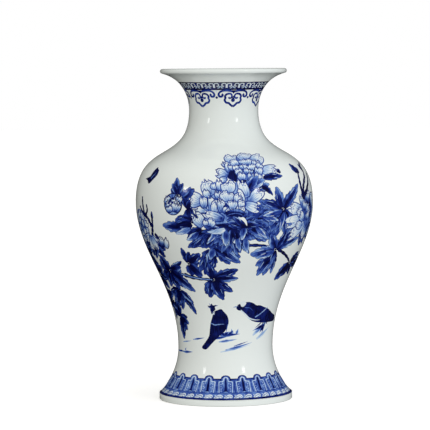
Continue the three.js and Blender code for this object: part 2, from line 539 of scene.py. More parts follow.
def blade(at, towards, length, width, bend=0.0, deep=0.9, edge=0.5, pale=0.0, rim=0.0):
    """One lobe of a leaf: dark at its base, lighter and toothed towards its tip, with a few veins.

    pale lightens the side to the right of the midrib, seen from the base, or the left if it's negative.
    """
    place = Place(*at, towards - 90)
    t = np.linspace(0, 1, max(12, int(length / 1.7)))
    spine = np.stack([bend * length * t * t, length * t], 1)
    half = t**0.6 * (1 - t) ** 0.95
    half *= width / 2 / half.max()
    sides = []
    for side in (-1, 1):
        tooth = (t * length / TOOTH + 0.35 * side + towards) % 1
        sides.append(half * (0.96 + 0.4 * tooth * smoothstep(t, 0.15, 0.4) * min(1, width / 12)))

    def shape(depth):
        keep = half > depth
        left, right = (spine[keep] + np.outer(np.clip(w - depth, 0.05, None)[keep], (sign, 0))
                       for sign, w in zip((-1, 1), sides))
        return np.vstack([left, right[::-1]])

    def tone(x, y):
        along = np.clip(y / length, 0, 1)
        side = (x - bend * length * along**2) / (width / 2)
        outer = smoothstep(np.abs(side + 0.2 * np.sin(towards)), 0.35, 1.05)
        value = deep + (edge - deep) * np.clip(0.75 * outer + 0.8 * smoothstep(along, 0.4, 1.0), 0, 1)
        lit = smoothstep(side * np.sign(pale), 0.0, 0.45) * smoothstep(along, 0.05, 0.4)
        return value - abs(pale) * value * lit

    mark(place, shape(0), max(rim, min(1, deep + 0.06)))
    mark(place, shape(LINE * 0.8), tone, across_hairs)
    for side, how in ((-0.62, "light"), (-0.34, "dark"), (0.3, "dark"), (0.55, "light")):
        part = (t > (0.45 if how == "light" else 0.15)) & (t < 0.95 - 0.3 * abs(side))
        if width < 8 and abs(side) > 0.5 or part.sum() < 5:
            continue
        path = (spine[part] + np.outer(half[part], (side, 0)))[::2]
        stroke(place, path, (0.3, width * 0.08, 0.2), deep if how == "dark" else 0.6 * edge, how)
    middle = (t > 0.02) & (t < 0.84)
    stroke(place, spine[middle], (1.0, 0.7, 0.2), min(1, deep + 0.06), "dark")


def leaf(at, lobes, deep=0.9, edge=0.5):
    """A leaf from its node: lobes are (direction, length, width) and may go on with bend and pale."""
    for towards, length, width, *more in lobes:
        bend, pale = (*more, 0)[:2] if more else (0.12 * math.sin(towards + length), 0)
        blade(at, towards, length, width, bend, deep, edge, pale)
    dot(Place(*at), 0, 0, 3.4, 3.4, deep, 8)


def branch(points, width, density=0.97, middle=0.6):
    """A branch through some spots, dark at its sides and lighter down the middle."""
    spots = np.array(points, float)
    angle, height = smooth(spots, 2.0).T
    flat = np.stack([np.radians(angle) * FLAT_RADIUS, length_at(height)], 1)
    stretch = FLAT_RADIUS / float(radius_at_length(flat[:, 1].mean()))
    path = flat / [stretch, 1]
    knots = 1 + 0.18 * np.sin(np.arange(len(path)) * 1.7)
    sides = ribbon(path, np.linspace(width, width * 0.6, len(path)) * knots) * [stretch, 1]
    mark(SHEET, sides, density)
    if width > 2:
        mark(SHEET, ribbon(path, width * 0.3) * [stretch, 1], middle)


class Sheet:
    """The whole flat sheet, for marks that go round the vase."""

    def flat(self, points):
        return np.asarray(points, float)

    def paper(self, points, shift=0):
        return points[:, 0] - shift, points[:, 1]


SHEET = Sheet()


def petal(at, towards, length, width, shade=0.35, line=0.66):
    """A peony's petal: a fan with a notched, ruffled far edge, pale there and shaded blue at its base."""
    place = Place(*at, towards - 90)
    turn = towards + 3 * length + 7 * width
    u = np.linspace(-1, 1, max(13, int(2.2 * width)))
    notch = 0.17 * length * np.exp(-(((u - 0.35 * np.sin(turn)) / 0.14) ** 2))
    if width > 13:
        notch += 0.12 * length * np.exp(-(((u + 0.6 * np.cos(turn)) / 0.1) ** 2))
    wave = 0.07 * length * np.sin(3.1 * u + turn)
    ruffle = min(1.7, 0.13 * width) * np.abs(np.sin(math.pi * width / RUFFLE / 2 * u + turn))
    far = np.stack([width / 2 * u, length * (1 - 0.3 * np.abs(u) ** 3) + wave + ruffle - notch - 1.0], 1)
    right, left = (
        bezier(far[end], (0.58 * wide, 0.35 * length), (0.4 * wide, 0.05 * length), (0.2 * wide, 0), 9)[1:]
        for end, wide in ((-1, width), (0, -width))
    )
    outline = np.vstack([far, right, left[::-1]])

    def tone(x, y):
        along = np.clip(y / length, 0, 1)
        lean = smoothstep(-x / width, 0.05, 0.5)
        return 0.025 + shade * np.clip(1 - along / 0.65, 0, 1) ** 1.3 + 0.35 * shade * lean * (1.1 - along)

    outlined(place, outline, tone, line, PETAL_LINE, round_hairs)
    if width > 11:
        stroke(place, far[3:-3] * (0.8, 0.78), 0.8, 0.25 + 0.4 * shade, "wash")
    for u in np.linspace(-0.7, 0.7, max(2, round(width / 4.5))):
        path = smooth([
            (0.1 * width * u, 0.1 * length), (0.3 * width * u, 0.4 * length),
            (0.42 * width * u, (0.72 - 0.14 * abs(u)) * length),
        ], 2.4)
        stroke(place, path, (1.1, 0.7, 0.1), 0.8 * shade, "wash")


def flower(at, petals, line=0.66):
    """A flower's petals, back ones first: (x, y, direction, length, width), and a shade if there is one."""
    for x, y, towards, length, width, *shade in petals:
        petal(moved(at, x, y), towards, length, width, *shade or [0.35], line)


def round_peony(at, radius, seed):
    """A peony with rings of petals round its heart."""
    draw = np.random.default_rng(seed)
    dot(Place(*at), 0, 0, radius * 1.3, radius * 1.3, 0.62, 24, across_hairs)
    for count, start, length, width in (
        (8, 0.42, 0.62, 0.72), (7, 0.25, 0.48, 0.52), (5, 0.08, 0.38, 0.42), (3, 0.0, 0.2, 0.26),
    ):
        for i in range(count):
            towards = 360 * (i + 0.5 * (count % 2)) / count + draw.uniform(-9, 9)
            base = ahead(at, towards, start * radius)
            petal(
                base, towards, radius * length * draw.uniform(0.88, 1.12),
                radius * width * draw.uniform(0.9, 1.15), 0.45
            )
    dot(Place(*at), 0, 0, radius * 0.14, radius * 0.14, 0.9)


def bud(at, radius, turn=90):
    """A closed bud: petals wrapped round one another."""
    place = Place(*at, turn - 90)
    outlined(place, ellipse(0, 0, 2 * radius, 2 * radius, 26), 0.36, 0.9, 1.3)
    for x, y, towards, length, width in (
        (0.35, 0.1, 60, 0.85, 0.9), (-0.4, 0.0, 120, 0.8, 0.9), (0.1, -0.3, 75, 0.9, 1.0),
        (-0.2, -0.5, 110, 0.9, 0.9), (0.25, -0.75, 80, 1.0, 1.1), (-0.35, -0.8, 100, 0.75, 0.8),
    ):
        base = ahead(ahead(at, turn - 90, x * radius), turn, y * radius)
        petal(base, towards + turn - 90, length * radius, width * radius, 0.7, 0.88)
    for x, y in ((-0.25, 0.35), (0.05, 0.5), (-0.05, 0.15), (-0.45, 0.1)):
        dot(place, x * radius, y * radius, 0.3 * radius, 0.22 * radius, 0.85, 10)


# ---- The neck's border: two lines with a scroll between them, and a row of hanging cloud collars below
NECK_COLLARS = 7
FIRST_COLLAR = 15.0
COLLAR_SIZE = 1.1
BORDER_INK = 0.72
BORDER_EDGES = (431.0, 433.4, 440.6, 442.0)  # the heights of the two lines' edges
BAND_CORNERS = 121


def band(low, high, density):
    round_vase = np.linspace(-SEAM, SEAM, BAND_CORNERS)
    low, high = (np.stack([round_vase, np.full(BAND_CORNERS, length_at(z))], 1) for z in (low, high))
    mark(SHEET, np.vstack([low, high[::-1]]), density, lambda x, y: y)


def line(place, points, width):
    stroke(place, smooth(points, 0.8), width, BORDER_INK)


def neck_border():
    bottom, low, high, top = BORDER_EDGES
    band(high, top, 0.93)
    band(low, high, 0.88)
    band(bottom, low, 0.93)
    scrolls = 6 * NECK_COLLARS
    for i in range(scrolls):
        place = Place(360 * i / scrolls, (low + high) / 2, 0, 1, 1 if i % 2 else -1)
        curl = smooth([(-3.6, -3.6), (-3.4, 3.2), (1.4, 3.6), (1.8, -0.6), (-0.8, -0.8)], 0.8)
        stroke(place, curl, 1.4, 0.04)
        stroke(place, smooth([(0.2, -3.8), (2.6, -3.4), (3.6, -0.4)], 0.8), 1.2, 0.08)
    for i in range(NECK_COLLARS):
        collar(FIRST_COLLAR + 360 * i / NECK_COLLARS)
        pendant(FIRST_COLLAR + 360 * (i + 0.5) / NECK_COLLARS)


def collar(angle):
    """A pointed cloud-shaped panel, with a small heart of scrolls in it and an arm to each side."""
    place = Place(angle, BORDER_EDGES[0], 0, COLLAR_SIZE)
    for side in (-1, 1):
        mirrored = Place(angle, BORDER_EDGES[0], 0, COLLAR_SIZE, side)
        line(mirrored, [
            (0, -2.6), (4.5, -1.3), (9, -0.8), (13.5, -1.0), (17.2, -2.8), (18.6, -5.8), (17.4, -8.6),
            (14.6, -9.0), (13.4, -7.0), (14.8, -5.6),
        ], 2.8)
        line(mirrored, [
            (4.6, -5.0), (8.2, -5.6), (10.4, -8.4), (9.7, -11.0), (10.5, -13.6), (8.6, -16.6), (5.2, -17.4),
            (3.2, -19.4), (0, -21.8),
        ], 2.7)
        line(mirrored, [(7.6, -5.6), (4.2, -5.0), (1.9, -7.2), (2.2, -10.2), (4.6, -11.2), (5.8, -9.6)], 2.3)
    stroke(place, [(0, -0.4), (0, -3.4), (0, -5.2)], [5.5, 2.2, 0.2], 0.95)
    stroke(place, [(0, -8.0), (0, -11.0), (0, -13.0)], [0.6, 2.4, 3.6], 0.9)
    dot(place, 0, -13.6, 5.2, 5.2, 0.8, 12)


def pendant(angle):
    """The meeting of two arms: a bead that hangs under a bare drop."""
    place = Place(angle, BORDER_EDGES[0])
    dot(place, 0, -11.2, 3.5, 3.6, 0.9, 10)
    stroke(place, [(0, -0.2), (0, -2.4), (0, -5.2)], [4.2, 2.4, 0.2], 0.05)


# ---- The foot's border: a row of upright petals over a band of waves
FOOT_PETALS = 20
WAVE_BOTTOM, WAVE_TOP, SADDLE, PETAL_TIP = 11.4, 18.0, 36.4, 40.8
PETAL_HEIGHT = float(length_at(PETAL_TIP) - length_at(WAVE_TOP))


def foot_border():
    band(WAVE_TOP, SADDLE, 0.52)
    band(SADDLE - 1.5, SADDLE, 0.76)
    for i in range(FOOT_PETALS):
        panel_gap(360 * (i + 0.5) / FOOT_PETALS)
    for i in range(FOOT_PETALS):
        panel(360 * i / FOOT_PETALS)
    band(WAVE_BOTTOM, WAVE_TOP, 0.46)
    band(WAVE_TOP - 0.6, WAVE_TOP + 0.4, 0.66)
    waves = 2 * FOOT_PETALS
    for i in range(waves):
        place = Place(360 * (i + 0.25) / waves, WAVE_BOTTOM)
        blob(place, [(-6.0, 0.4), (-2.4, 4.4), (1.6, 6.2), (5.4, 4.8), (5.6, 1.6), (3.0, 0.4)], 0.05)
        stroke(place, smooth([(-4.6, 0.8), (-1.0, 3.2), (3.2, 3.8), (4.8, 1.8)], 0.8), 0.9, 0.55)
        dot(place, -4.2, 4.8, 2.2, 1.5, 0.1, 8)
        dot(place, 1.4, 0.9, 3.0, 1.1, 0.5, 8)
    band(FOOT_BAND, WAVE_BOTTOM, 0.84)


def stepped(half, shoulder, arch, top):
    """A rectangle with a narrow round arch on its top."""
    right = [
        (half, 0), (half, shoulder - 1), (half - 1, shoulder), (arch + 0.6, shoulder + 0.2),
        (arch, shoulder + 1.2), (0.88 * arch, top - 2.2), (0.5 * arch, top - 0.5), (0, top),
    ]
    return np.array(right + [(-x, y) for x, y in right[-2::-1]])


def panel(angle):
    """One upright petal: an arch on a stepped panel, a pale inner line, and a small tree between dots."""
    place = Place(angle, WAVE_TOP)
    tall = PETAL_HEIGHT
    for half, shoulder, arch, top, density in (
        (7.4, 0.8 * tall, 6.4, tall, 0.78), (6.2, 0.76 * tall, 5.2, tall - 1.4, 0.5),
        (9.8, 0.67 * tall, 3.9, tall - 2.4, 0.12), (8.7, 0.67 * tall - 1.1, 2.8, tall - 3.6, 0.46),
    ):
        mark(place, stepped(half, shoulder, arch, top), density, across_hairs)
    for side in (-1, 1):
        for k in range(4):
            dot(place, side * 6.6, 2.8 + 3.4 * k, 1.4, 1.8, 0.16, 6)
            dot(place, side * 4.4, 4.4 + 3.4 * k, 1.4, 1.8, 0.22 if k % 2 else 0.66, 6)
    stroke(place, [(0, 1.2), (0, 5.0), (0, 14.0), (0, tall - 4.0)], [7.5, 3.4, 3.6, 1.4], 0.74)
    stroke(place, [(0, 1.6), (0, 6.0), (0, 14.0), (0, tall - 5.0)], [3.0, 2.2, 2.6, 1.0], 0.95)
    dot(place, 0, 1.0, 6.4, 2.2, 0.3, 12)


def panel_gap(angle):
    place = Place(angle, WAVE_TOP)
    tall = 0.76 * PETAL_HEIGHT
    for x, density in ((-1.7, 0.4), (1.7, 0.4), (0, 0.7)):
        stroke(place, [(x, 0.6), (x, tall / 2), (x, tall - 1.5)], 1.0, density)


# ---- The birds
BIRD_INK = 0.95


def standing_bird(at):
    """A bird seen from behind, its head turned to the left and its tail hanging down."""
    place = Place(*at)
    body = smooth([
        (-7, 10), (-5, 15), (-1, 17), (5, 19), (8.5, 15), (13, 9), (14.5, 1), (13, -6), (9, -13), (4, -17.5),
        (-3, -24), (-10, -31), (-18, -39), (-24.5, -36.5), (-18.5, -28), (-13.5, -20), (-12, -10),
        (-10.5, -1), (-8.5, 5),
    ], 1.2, True)
    mark(place, body, BIRD_INK, across_hairs)
    head = smooth([
        (-8, 11), (-6, 15), (-3, 18), (-3.5, 22), (-1, 25), (-6, 24.5), (-8, 27), (-10, 24), (-14, 23.5),
        (-10.5, 20), (-10, 16),
    ], 1, True)
    mark(place, head, 0.93)
    for x, y, towards in ((-9, 24, 125), (-9, 20, 165), (-3, 23, 25)):
        brush(moved(at, x, y), towards, 5, 1.0, 0.6)
    dot(place, -5.6, 12.8, 2.9, 4.4, 0.04, 12)
    stroke(place, [(-8, 15), (-5, 13), (-3, 9.5)], 0.7, 0.7)
    bar = smooth([(-10, -1.6), (-5, -4.2), (1, -3.4), (8, -3.0)], 1)
    stroke(place, bar, (1.1, 1.7, 0.5), 0.3)
    brush(moved(at, 13.2, -3), 255, 13, 1.3, 0.55, -0.1)
    brush(moved(at, -9, -10), 268, 14, 0.9, 0.86)
    brush(moved(at, -13, -30), 240, 8, 0.8, 0.88)
    brush(moved(at, 9, -14), 265, 6, 0.9, 0.7)


def stooping_bird(at):
    """A bird seen from its left side, its head low."""
    place = Place(*at)
    body = smooth([
        (-32, 7), (-30, 12), (-26, 13), (-20, 15), (-14, 15), (-8, 13), (-2, 9.5), (4, 9), (11, 6.5), (23, 2),
        (35, -5), (47, -10), (47, -17), (24, -17.5), (9, -16.5), (-2, -14.5), (-10, -10.5), (-17, -4),
        (-22, 1.5), (-29, 3.5),
    ], 1.2, True)
    mark(place, body, BIRD_INK - 0.04, across_hairs)
    blob(place, [(-28, 15), (-25, 8.6), (-21.5, 9), (-19, 13), (-22, 17)], 0.02)
    chest = smooth([(-25, 3.6), (-18, -2.6), (-11, -8.8), (-1, -12), (8, -12.6)], 1)
    stroke(place, chest, (1.2, 2.4, 0.5), 0.06)
    wing = smooth([(-1, -8), (7, -4), (16, 2), (20, 5)], 1)
    stroke(place, wing, (1.9, 1.4, 1.0), 0.28)
    blob(place, [(-17, 6), (-8, 9), (0, 5), (-4, -3), (-12, 0)], 0.84)
    stroke(place, smooth([(-20, 7), (-12, 6), (-7, 2)], 1), 1.0, 0.5)
    brush(moved(at, -31, 9), 190, 6, 1.8, 0.4)
    for x, towards, length in ((17, 240, 9), (19, 275, 9), (21, 310, 8), (14, 215, 16)):
        brush(moved(at, x, -15), towards, length, 2.1, 0.85)
    for towards, length in ((200, 22), (235, 14), (255, 12)):
        soft_brush(moved(at, 18, -20), towards, length, 4.8, 0.95)


def flying_bird(at):
    """A small bird in the distance, wings folded back."""
    place = Place(*at)
    blob(place, [
        (2, 16), (4, 13), (7, 12), (9, 9), (9, 3), (3, -4), (-3, -9), (-7, -9), (-11, -5), (-18, -3),
        (-12, -1), (-7, 1), (-4, 8), (-1, 14),
    ], 0.985)
    stroke(place, [(-3.0, -2.0), (4.0, 7.0)], [1.8, 0.6], 0.45)


def ground():
    """Grass and the slope of the bank, in thin watery strokes."""
    for at, *stroke_like in (
        ((-16, 90), 10, 26, 4.0, 0.8), ((-8, 86), 8, 26, 4.0, 0.4), ((-42, 88), 10, 20, 2.8, 0.7),
        ((-62, 83), 8, 20, 2.2, 0.4), ((-80, 69), 2, 30, 3.0, 0.8), ((-62, 69), 4, 22, 4.0, 0.7),
        ((-58, 71), 60, 6, 2.6, 0.5), ((0, 75), 13, 40, 3.2, 0.6), ((10, 80), 16, 22, 1.8, 0.95),
        ((-6, 72), 12, 44, 3.0, 0.22), ((34, 94), 35, 40, 7, 0.3), ((40, 88), 30, 30, 6, 0.2),
    ):
        soft_brush(at, *stroke_like)
    for x, towards in ((0, 150), (2, 60), (6, 30), (9, 165), (12, 40), (18, 100), (23, 70)):
        soft_brush(moved((-7, 96), x, 0), towards, 9, 4.2, 1.0 if x < 14 else 0.45)
    soft_brush((-6, 95), 4, 28, 5.0, 1.0)


# ---- The peonies and their leaves, over the shoulder and the belly
DARK = (0.99, 0.52)
MIDDLE = (0.95, 0.36)
LIGHT = (0.88, 0.26)


def wash(at, points, density, step=2.0):
    """A flat patch behind leaves or petals."""
    blob(Place(*at), points, density, step, across_hairs)


def right_leaves():
    wash((22, 258), [(-24, 12), (4, 20), (34, 16), (40, -6), (30, -26), (6, -26), (-18, -18)], 0.66)
    leaf((65, 243), [(20, 40, 14), (340, 45, 16), (270, 30, 14), (303, 31, 14)], *DARK)
    leaf(
        (63, 193), [(354, 46, 14), (44, 27, 12), (20, 30, 11), (300, 24, 11), (246, 22, 13), (221, 35, 17)],
        *DARK
    )
    branch([(42, 214), (52, 205), (62, 194)], 5.0, middle=0.9)
    leaf(
        (24, 262), [(60, 22, 12), (262, 26, 14), (300, 30, 15), (35, 26, 14), (5, 30, 15), (335, 34, 15)],
        *MIDDLE
    )
    leaf((15, 251), [
        (285, 26, 13), (21, 18, 11), (9, 24, 13), (350, 32, 16), (341, 38, 17), (306, 31, 15), (318, 40, 18),
        (329, 42, 17),
    ], *MIDDLE)
    branch([(14, 222), (26, 221), (38, 216)], 5.4, middle=0.85)
    leaf((39, 214), [
        (278, 39, 10), (260, 42, 14), (229, 36, 15), (244, 45, 18), (193, 40, 18, 0.1, 0.4),
        (24, 52, 11, 0.1, 0.7), (43, 56, 14, -0.1), (60, 40, 10), (120, 29, 14, 0, -0.4),
        (261, 20, 7, 0, 0.7),
    ], *LIGHT)
    leaf((40, 270), [
        (305, 32, 16), (282, 38, 12, 0, 0.5), (253, 36, 14), (238, 36, 15), (222, 33, 14), (205, 34, 13),
        (178, 40, 14), (189, 41, 11, -0.1, 0.3), (167, 43, 14, 0.1, 0.3), (156, 38, 12), (69, 20, 10),
        (108, 34, 14, 0, 0.4), (54, 36, 12), (43, 50, 14, 0, 0.4),
    ], *MIDDLE)


def right_flowers():
    wash((64, 266), [(-20, -8), (-12, 16), (4, 22), (20, 20), (28, 0), (22, -22), (4, -28), (-16, -22)], 0.55)
    flower((63, 262), [
        (8, 10, 76, 22, 20, 1.0), (18, 8, 40, 24, 22, 1.0), (-2, 8, 112, 21, 16, 0.9),
        (-6, 2, 165, 34, 18, 0.35), (-2, -8, 186, 42, 19, 0.25), (24, -16, 320, 24, 20, 0.9),
        (4, -14, 210, 40, 18, 0.25), (12, -16, 262, 22, 18, 0.6), (20, -4, 0, 26, 24, 1.0),
        (-6, -2, 150, 16, 15, 0.4), (2, 2, 95, 16, 15, 0.9), (8, -4, 60, 17, 16, 0.8),
        (0, -10, 140, 17, 14, 0.4), (12, -12, 96, 15, 14, 0.8), (-2, -18, 170, 18, 13, 0.3),
    ], 0.62)
    branch([(62, 282), (60, 296), (60, 308), (62, 320)], 6.5, middle=0.9)
    branch([(61, 284), (64, 300), (71, 314), (73, 325), (79, 330)], 6.5, middle=0.9)
    branch([(61, 282), (67, 292), (74, 304), (79, 316)], 7.0, middle=0.9)
    leaf((61, 316), [(112, 20, 11), (84, 12, 9), (60, 12, 8)], *DARK)
    blade((72, 318), 100, 14, 8, 0, *DARK)


def middle_leaves():
    wash((-1, 236), [(-30, 6), (-8, 12), (20, 8), (24, -10), (14, -26), (-8, -24), (-26, -8)], 0.72)
    leaf(
        (-9, 217), [(233, 25, 13), (241, 42, 14), (266, 43, 14), (255, 43, 13), (251, 24, 10, 0, 0.7)], *DARK
    )
    leaf((-10, 174), [
        (97, 28, 13), (20, 36, 12), (31, 40, 14), (9, 36, 11, 0.1, 0.5), (235, 27, 12), (317, 33, 13),
        (297, 30, 13), (252, 30, 14), (284, 35, 14),
    ], *DARK)
    leaf(
        (-7, 221),
        [(353, 27, 13), (343, 34, 14), (312, 35, 15), (334, 40, 15, 0, 0.3), (323, 44, 16, 0, -0.4)], *MIDDLE
    )
    leaf((-14, 243), [(176, 18, 9), (195, 26, 12), (258, 20, 11), (212, 28, 12), (235, 25, 12)], *DARK)
    leaf(
        (-8, 240), [(216, 44, 14), (288, 30, 15), (271, 26, 14), (222, 38, 13), (235, 29, 13), (251, 27, 13)],
        *DARK
    )
    leaf((5, 248), [
        (340, 30, 13), (322, 34, 14), (308, 40, 12), (301, 48, 12, 0, 0.4), (264, 44, 13), (229, 36, 13, 0.1),
        (280, 46, 12, 0, 0.3), (250, 42, 12, 0, 0.2), (293, 42, 12), (238, 34, 13, 0, -0.5),
        (218, 30, 11, 0.1), (252, 31, 13, 0, -0.85), (290, 38, 12, 0, 0.85), (265, 30, 10, 0, 0.6),
        (198, 44, 12, 0.15), (188, 40, 12, 0.15), (176, 38, 12, 0.2),
    ], *MIDDLE)
    for at, towards, length, width, bend in (
        ((0, 246), 278, 27, 10, 0.1), ((13, 250), 262, 23, 9.5, 0), ((8, 233), 286, 22, 8, 0),
        ((14, 234), 276, 26, 8.5, -0.1), ((-8, 219), 258, 20, 10, 0.1), ((-4, 247), 246, 30, 8, 0.2),
        ((20, 248), 318, 28, 8, 0), ((-17, 241), 222, 24, 9, 0.15), ((24, 262), 345, 30, 9, 0),
        ((40, 268), 196, 34, 9, 0.1), ((41, 267), 262, 30, 8, 0), ((39, 213), 205, 32, 10, 0.1),
    ):
        blade(at, towards, length, width, bend, 0.62, 0.0, rim=0.85)
    blade((1, 246), 212, 26, 8, 0.4, 0.2, 0.02)


def arching_leaf():
    """The leaf that bends over the main peony's edge, pale along its back, with a bright gap below it."""
    wash((8, 256), [(-12, 4), (-7, 9), (8, 9), (14, -2), (10, -10), (-6, -9), (-12, -3)], 0.8)
    leaf((14, 250), [
        (162, 30, 10), (184, 26, 10), (170, 28, 10, 0, 0.4), (142, 25, 9), (153, 24, 9), (122, 18, 9, 0, 0.5),
        (96, 14, 8),
    ], *MIDDLE)
    place = Place(15, 251)
    arch = smooth([
        (1, -1), (-0.5, 10), (-5, 17.5), (-12, 21.5), (-21, 21.5), (-32, 16.5), (-25, 12), (-16, 11),
        (-9, 8.5), (-4, 3),
    ], 1.5, True)
    outlined(place, arch, lambda x, y: 0.9 - 0.55 * smoothstep(y + 0.25 * (x + 16), 15.5, 20.5), 0.97)
    for drop in (2.5, 4.5, 6.5):
        stroke(
            place, smooth([(-27, 18 - drop), (-18, 20 - drop), (-9, 18 - drop), (-3, 12 - drop)]), 0.9,
            0.5 if drop == 4.5 else 0.99
        )
    blade((14, 251), 122, 16, 6, -0.3, 0.25, 0.02)
    leaf((11, 250), [(60, 20, 10), (30, 24, 10), (5, 28, 11)], *MIDDLE)
    blob(place, [(-12, 8.5), (-6.5, 10), (-2, 5), (-1, -2), (-4.5, 2.5), (-8, 6)], 0.0)


def left_leaves():
    leaf(
        (-80, 205), [(90, 26, 14), (30, 28, 14), (270, 30, 15), (320, 30, 15), (180, 30, 14), (230, 28, 14)],
        *DARK
    )
    leaf((-74, 176), [(100, 26, 14), (45, 26, 13), (350, 24, 13), (300, 26, 14), (240, 28, 14)], *DARK)
    leaf((-78, 146), [(80, 24, 13), (20, 26, 13), (300, 26, 13), (240, 26, 13)], *DARK)
    branch([(-36, 180), (-29, 177), (-20, 175), (-10, 174)], 6.5, middle=0.3)
    branch([(-51, 186), (-44, 182), (-36, 180)], 6.5, middle=0.3)
    leaf(
        (-29, 196), [(105, 27, 9), (80, 21, 9), (7, 18, 10), (38, 28, 13), (278, 20, 13), (313, 27, 15)],
        *DARK
    )
    leaf((-51, 184), [
        (160, 24, 14), (200, 26, 14), (240, 30, 14), (145, 26, 14), (115, 29, 15), (30, 35, 9, 0, -0.7),
        (0, 24, 13), (19, 27, 12, 0, 0.4), (329, 30, 15), (283, 32, 15), (300, 30, 13), (317, 46, 16, 0, 0.3),
    ], *DARK)
    leaf((-47, 158), [
        (200, 28, 13), (222, 34, 14), (263, 33, 12), (239, 38, 14), (302, 42, 11, 0.1), (312, 28, 9, 0, 0.7),
    ], *DARK)
    leaf((-66, 140), [(250, 30, 12), (285, 28, 12), (200, 26, 11)], *DARK)
    leaf(
        (-60, 119), [(90, 24, 12), (140, 24, 11), (300, 24, 10), (1, 18, 8), (331, 21, 10), (271, 34, 13)],
        *DARK
    )


def left_flowers():
    wash((-72, 243), [(-26, 0), (-14, 22), (8, 24), (20, 10), (22, -12), (8, -26), (-20, -22)], 0.4)
    for first, apart, out, length, width in ((20, 40, 9, 17, 15), (40, 72, 3, 12, 11)):
        for towards in range(first, first + 360, apart):
            petal(ahead((-72, 243), towards, out), towards, length, width, 0.6, 0.7)
    branch([(-58, 232), (-55, 247), (-54, 258)], 6.0, middle=0.9)
    branch([(-56, 246), (-59, 256), (-63, 262), (-65, 275), (-66, 286)], 6.2, middle=0.9)
    branch([(-62, 260), (-67, 266), (-70, 273)], 5.5, middle=0.9)
    branch([(-62, 260), (-59, 268), (-60, 276)], 5.0, middle=0.9)
    blade((-54, 255), 90, 13, 6, 0, *DARK, 0.6)
    leaf((-58, 222), [(333, 24, 12), (300, 26, 12), (221, 28, 13), (189, 33, 13), (250, 28, 12)], *DARK)
    for towards, length, width in ((197, 20, 14), (250, 24, 16), (318, 18, 13), (285, 22, 14)):
        petal((-60, 232), towards, length, width, 0.4, 0.75)
    blade((-55, 237), 312, 15, 6, 0, *DARK)
    petal((-49, 217), 92, 17, 12, 0.9, 0.9)
    petal((-46, 216), 70, 17, 10, 0.35, 0.9)


def bud_spray():
    leaf(
        (-31, 290),
        [(144, 16, 9), (100, 27, 10, 0, 0.6), (122, 21, 8, 0, -0.4), (68, 20, 8, 0, 0.5), (84, 18, 6)],
        *MIDDLE
    )
    blade((-30, 287), 16, 27, 14, -0.2, *DARK)
    blade((-29, 288), 32, 22, 7, -0.2, 0.7, 0.3)
    branch([(-27, 282), (-23, 272), (-17, 260)], 5.0)
    leaf((-24, 273), [(106, 18, 9), (68, 13, 8), (324, 12, 8), (283, 14, 10)], *DARK)
    leaf((-21, 254), [(150, 16, 13), (169, 28, 17, -0.1), (214, 25, 13), (190, 30, 14)], *DARK)
    blade((-22, 246), 204, 28, 8, 0.1, 0.4, 0.05)
    blade((-29, 247), 180, 34, 14, 0.05, 0.97, 0.3, 0.3)
    bud((-34.5, 278), 15.2, 90)


def top_peony():
    at = (14, 321)
    wash(at, [(-20, 10), (-8, 22), (10, 24), (24, 14), (26, -6), (14, -14), (-4, -15), (-24, -8)], 0.45)
    wash(at, [
        (-24, -3), (-20, 6), (-12, 10), (-8, 2), (-3, -8), (4, -15), (3, -22), (-8, -17), (-22, -9),
    ], 0.97, 1.5)
    flower(at, [
        (-23, -5, 160, 18, 16, 0.4), (-24, -9, 195, 12, 9, 0.4), (-19, 7, 118, 16, 14),
        (-22, 0, 98, 18, 8, 0.5), (-11, 17, 106, 19, 21), (-2, 20, 80, 11, 12, 0.8), (8, 20, 90, 19, 25),
        (17, 13, 54, 26, 20), (24, 1, 8, 28, 17, 0.25), (-14, 4, 120, 11, 10), (-8, 10, 116, 15, 13),
        (6, 12, 90, 13, 22), (16, 8, 62, 16, 13), (-6, 3, 134, 12, 11), (21, 3, 62, 15, 12),
        (0, 4, 104, 11, 10, 0.7), (9, 2, 84, 13, 20, 0.2), (-5, -4, 120, 12, 12), (19, -5, 70, 15, 13),
        (6, -5, 88, 12, 15, 0.6), (-3, -12, 104, 13, 13), (8, -12, 72, 12, 13), (18, -14, 78, 14, 12, 0.2),
    ])


def main_peony():
    at = (0, 279)
    wash(at, [(-30, -6), (-22, 16), (-4, 28), (20, 28), (34, 12), (30, -16), (10, -24), (-20, -26)], 0.3)
    flower(at, [
        (33, 2, 38, 27, 17, 0.3), (27, 0, 338, 24, 15, 0.3), (32, 8, 112, 27, 15, 0.25),
        (-17, 11, 116, 24, 20), (-14, 19, 82, 10, 13), (-6, 17, 96, 17, 10, 0.5), (-29, 1, 160, 23, 22, 0.45),
        (-22, 8, 112, 13, 11), (6, 14, 94, 18, 21, 0.2), (-18, -14, 174, 35, 15, 0.4),
        (25, -6, 108, 27, 16, 0.3), (-6, 6, 100, 13, 13), (4, 3, 92, 15, 22, 0.25),
        (-20, -12, 162, 22, 11, 0.5), (-27, -6, 98, 18, 12), (16, 0, 74, 15, 13, 0.3),
        (-17, -10, 94, 22, 10, 0.6), (-10, -4, 84, 13, 11), (-13, -13, 90, 18, 12), (21, -9, 82, 16, 13),
        (-4, -12, 92, 20, 12, 0.5), (11, -8, 98, 14, 17), (3, -14, 96, 12, 11, 0.9),
        (17, -17, 64, 17, 14, 0.4), (8, -18, 92, 13, 14, 0.6), (0, -20, 166, 32, 14, 0.55),
        (-29, -31, 122, 22, 18, 0.35), (-20, -31, 72, 13, 14, 0.3), (-25, -30, 98, 10, 9, 0.25),
    ])
    wash((1, 277), [(-4, -2), (-2, 1), (0, 3), (3, 1), (5, -3), (1, -2)], 0.85)


